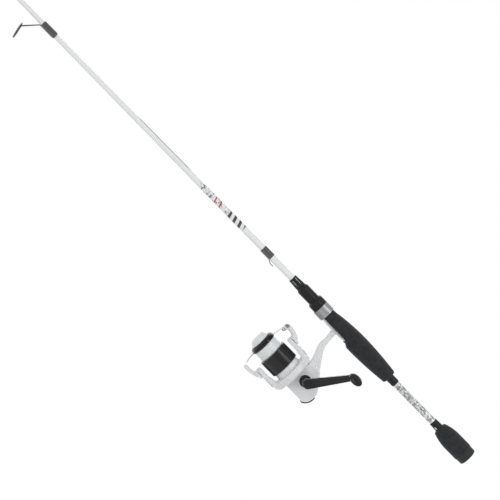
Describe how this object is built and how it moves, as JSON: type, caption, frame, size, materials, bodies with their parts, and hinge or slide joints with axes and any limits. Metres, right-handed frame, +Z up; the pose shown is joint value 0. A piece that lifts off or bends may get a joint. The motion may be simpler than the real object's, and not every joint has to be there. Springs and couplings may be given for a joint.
{
  "type": "spinning rod and reel",
  "caption": "Two-piece spinning fishing rod with foam grips, line guides and a fixed-spool reel in its seat, with turning crank, rotor, flip bail and front drag.",
  "frame": {"origin": "centre of the butt end's face, on the rod's axis", "axes": "+X along the rod to the tip, +Z up, the reel hangs to -Z, its handle is on the +Y side"},
  "size_m": [1.8287, 0.1276, 0.1403],
  "materials": {
    "blank_enamel": "gloss",
    "eva_foam": "matte",
    "cap_rubber": "matte",
    "black_trim": "satin",
    "hood_steel": "satin",
    "guide_steel": "dark",
    "thread_wrap": "gloss",
    "ring_ceramic": "polished",
    "reel_white": "gloss",
    "fastener_steel": "satin",
    "bearing_steel": "polished",
    "gear_brass": "machined",
    "gear_zinc": "cast",
    "gear_nylon": "moulded",
    "bail_chrome": "polished",
    "spool_black": "anodised",
    "line_mono": "gloss",
    "drag_felt": "felt",
    "handle_black": "gloss"
  },
  "bodies": {
    "rod_butt": {"butt_blank": "blank_enamel", "butt_cap": "cap_rubber", "butt_grip": "eva_foam", "butt_check": "black_trim", "rear_collar": "black_trim", "seat_tube": "black_trim", "seat_grip": "eva_foam", "keeper_wrap": "thread_wrap", "hook_keeper": "guide_steel", "stripper_frame": "guide_steel", "stripper_ring": "ring_ceramic", "stripper_wrap": "thread_wrap", "reel_body": "reel_white", "side_cover": "reel_white", "cover_screws": "fastener_steel", "rear_cap": "black_trim", "pinion_bearing": "bearing_steel", "drive_bearings": "bearing_steel", "shaft_cap": "handle_black"},
    "tip_section": {"tip_blank": "blank_enamel", "ferrule_wrap": "thread_wrap", "guide_2_frame": "guide_steel", "guide_3_frame": "guide_steel", "guide_4_frame": "guide_steel", "guide_5_frame": "guide_steel", "guide_6_frame": "guide_steel", "tip_guide_rings": "ring_ceramic", "tip_guide_wraps": "thread_wrap", "tip_top": "guide_steel", "tip_top_ring": "ring_ceramic"},
    "seat_hood": {"seat_hood": "hood_steel"},
    "seat_nut": {"seat_nut": "black_trim", "nut_tail": "black_trim"},
    "drive": {"drive_gear": "gear_zinc", "drive_shaft": "fastener_steel", "handle_hub": "handle_black", "fold_pin": "fastener_steel", "crank_arm": "handle_black", "knob_spindle": "fastener_steel"},
    "crank_knob": {"crank_knob": "handle_black"},
    "osc_gear": {"osc_gear": "gear_nylon"},
    "rotor": {"rotor": "reel_white", "pinion_gear": "gear_brass", "rotor_nut": "gear_brass", "arm_covers": "reel_white", "bail_spring": "fastener_steel"},
    "bail": {"bail_arm": "reel_white", "roller_screw": "fastener_steel", "bail_wire": "bail_chrome", "bail_holder": "reel_white"},
    "line_roller": {"line_roller": "bail_chrome"},
    "main_shaft": {"main_shaft": "fastener_steel", "slider": "gear_zinc"},
    "spool": {"spool": "spool_black", "line_pack": "line_mono", "drag_washers": "drag_felt", "washer_clip": "fastener_steel"},
    "drag_carrier": {"drag_spring": "fastener_steel"},
    "drag_knob": {"drag_knob": "reel_white", "drag_nut": "gear_brass"}
  },
  "joints": [
    {"name": "tip_pull", "type": "slide", "parent": "rod_butt", "child": "tip_section", "axis": [1, 0, 0], "range_m": [0, 0.06]},
    {"name": "nut_travel", "type": "slide", "parent": "rod_butt", "child": "seat_hood", "axis": [1, 0, 0], "range_m": [0, 0.01]},
    {"name": "nut_turn", "type": "hinge", "parent": "seat_hood", "child": "seat_nut", "pos_m": [0.29, 0, 0], "axis": [1, 0, 0], "range_deg": [0, 2424]},
    {"name": "handle_turn", "type": "hinge", "parent": "rod_butt", "child": "drive", "pos_m": [0.226, 0, -0.0818], "axis": [0, 1, 0], "continuous": true},
    {"name": "knob_spin", "type": "hinge", "parent": "drive", "child": "crank_knob", "pos_m": [0.19233, 0.058, -0.03372], "axis": [0, 1, 0], "continuous": true},
    {"name": "osc_spin", "type": "hinge", "parent": "rod_butt", "child": "osc_gear", "pos_m": [0.215, 0.004, -0.08794], "axis": [0, 1, 0], "continuous": true},
    {"name": "rotor_spin", "type": "hinge", "parent": "rod_butt", "child": "rotor", "pos_m": [0.25, 0, -0.0868], "axis": [1, 0, 0], "continuous": true},
    {"name": "bail_flip", "type": "hinge", "parent": "rotor", "child": "bail", "pos_m": [0.273, 0, -0.0868], "axis": [0, 0, 1], "range_deg": [0, 109]},
    {"name": "roller_spin", "type": "hinge", "parent": "bail", "child": "line_roller", "pos_m": [0.293, 0.00199, -0.05231], "axis": [0, -0.7161, -0.698], "continuous": true},
    {"name": "spool_stroke", "type": "slide", "parent": "rod_butt", "child": "main_shaft", "axis": [1, 0, 0], "range_m": [-0.004, 0.004]},
    {"name": "spool_slip", "type": "hinge", "parent": "main_shaft", "child": "spool", "pos_m": [0.285, 0, -0.0868], "axis": [1, 0, 0], "continuous": true},
    {"name": "drag_travel", "type": "slide", "parent": "main_shaft", "child": "drag_carrier", "axis": [1, 0, 0], "range_m": [0, 0.00101]},
    {"name": "drag_turn", "type": "hinge", "parent": "drag_carrier", "child": "drag_knob", "pos_m": [0.305, 0, -0.0868], "axis": [1, 0, 0], "range_deg": [0, 450]}
  ],
  "couplings": [
    {"joint": "nut_turn", "follows": "nut_travel", "rad_per_m": 4188.8},
    {"joint": "rotor_spin", "follows": "handle_turn", "ratio": 4.375},
    {"joint": "osc_spin", "follows": "handle_turn", "ratio": -0.5},
    {"joint": "drag_travel", "follows": "drag_turn", "m_per_rad": 0.00012732}
  ]
}
